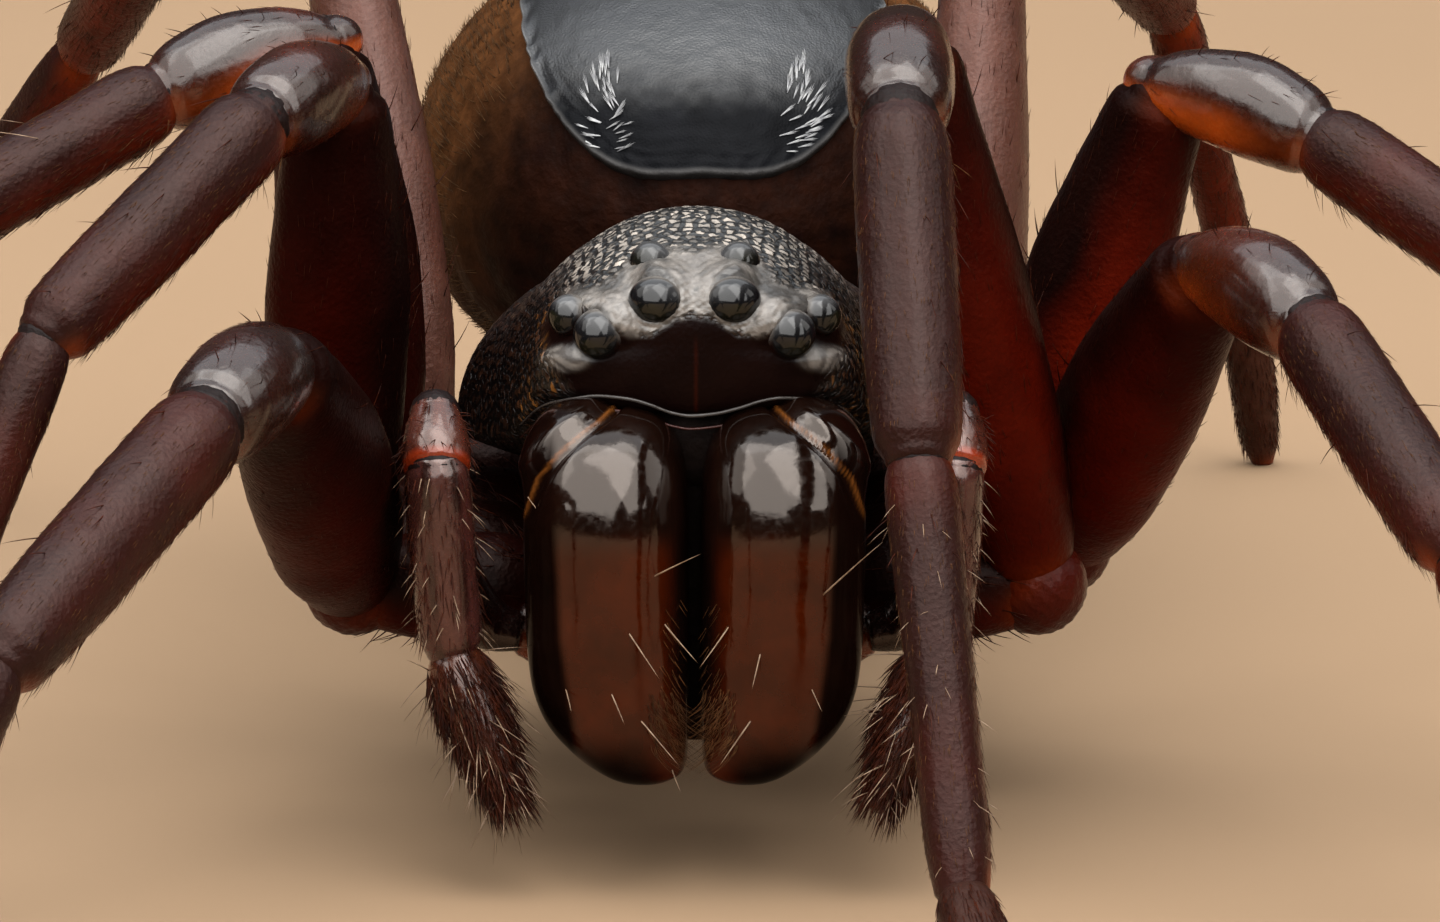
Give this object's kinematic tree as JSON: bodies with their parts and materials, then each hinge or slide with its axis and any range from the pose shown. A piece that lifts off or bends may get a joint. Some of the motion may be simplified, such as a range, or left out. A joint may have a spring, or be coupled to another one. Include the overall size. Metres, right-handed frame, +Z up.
{
  "type": "ant mimic sac spider figure",
  "caption": "Still life-size spider standing on bent legs, with a glossy black domed head, heavy jaws, a raised plate on an oval abdomen and short feelers.",
  "frame": {"origin": "centre of the bounding box's underside, on the floor that the feet stand on", "axes": "+X the spider's left side, +Y from the face back to the spinnerets, +Z up"},
  "size_m": [0.0168, 0.0232, 0.0066],
  "materials": {
    "shell": "black, finely granular shell under a thin gloss",
    "jaw": "smooth, very glossy black-brown",
    "horn": "translucent red-black horn",
    "eye": "clear black lens",
    "leg": "dark red-brown, glossy, thin hairs",
    "palp": "red-brown, bristly",
    "flank": "soft brown skin with short golden hairs"
  },
  "bodies": {
    "root": {"carapace": "shell", "sternum": "shell", "abdomen": "flank", "pedicel": "shell", "spinnerets": "flank", "eye_ame_left": "eye", "eye_ame_right": "eye", "eye_pme_left": "eye", "eye_pme_right": "eye", "eye_ale_left": "eye", "eye_ale_right": "eye", "eye_ple_left": "eye", "eye_ple_right": "eye", "chelicera_left": "jaw", "fang_left": "horn", "palp_coxa_left": "palp", "palp_femur_left": "palp", "palp_tibia_left": "palp", "palp_tarsus_left": "palp", "chelicera_right": "jaw", "fang_right": "horn", "palp_coxa_right": "palp", "palp_femur_right": "palp", "palp_tibia_right": "palp", "palp_tarsus_right": "palp", "coxa_left_1": "leg", "coxa_left_2": "leg", "coxa_left_3": "leg", "coxa_left_4": "leg", "coxa_right_1": "leg", "coxa_right_2": "leg", "coxa_right_3": "leg", "coxa_right_4": "leg", "femur_left_1": "leg", "femur_left_2": "leg", "femur_left_3": "leg", "femur_left_4": "leg", "femur_right_1": "leg", "femur_right_2": "leg", "femur_right_3": "leg", "femur_right_4": "leg", "tibia_left_1": "leg", "tibia_left_2": "leg", "tibia_left_3": "leg", "tibia_left_4": "leg", "tibia_right_1": "leg", "tibia_right_2": "leg", "tibia_right_3": "leg", "tibia_right_4": "leg", "tarsus_left_1": "leg", "tarsus_left_2": "leg", "tarsus_left_3": "leg", "tarsus_left_4": "leg", "tarsus_right_1": "leg", "tarsus_right_2": "leg", "tarsus_right_3": "leg", "tarsus_right_4": "leg"}
  },
  "joints": []
}
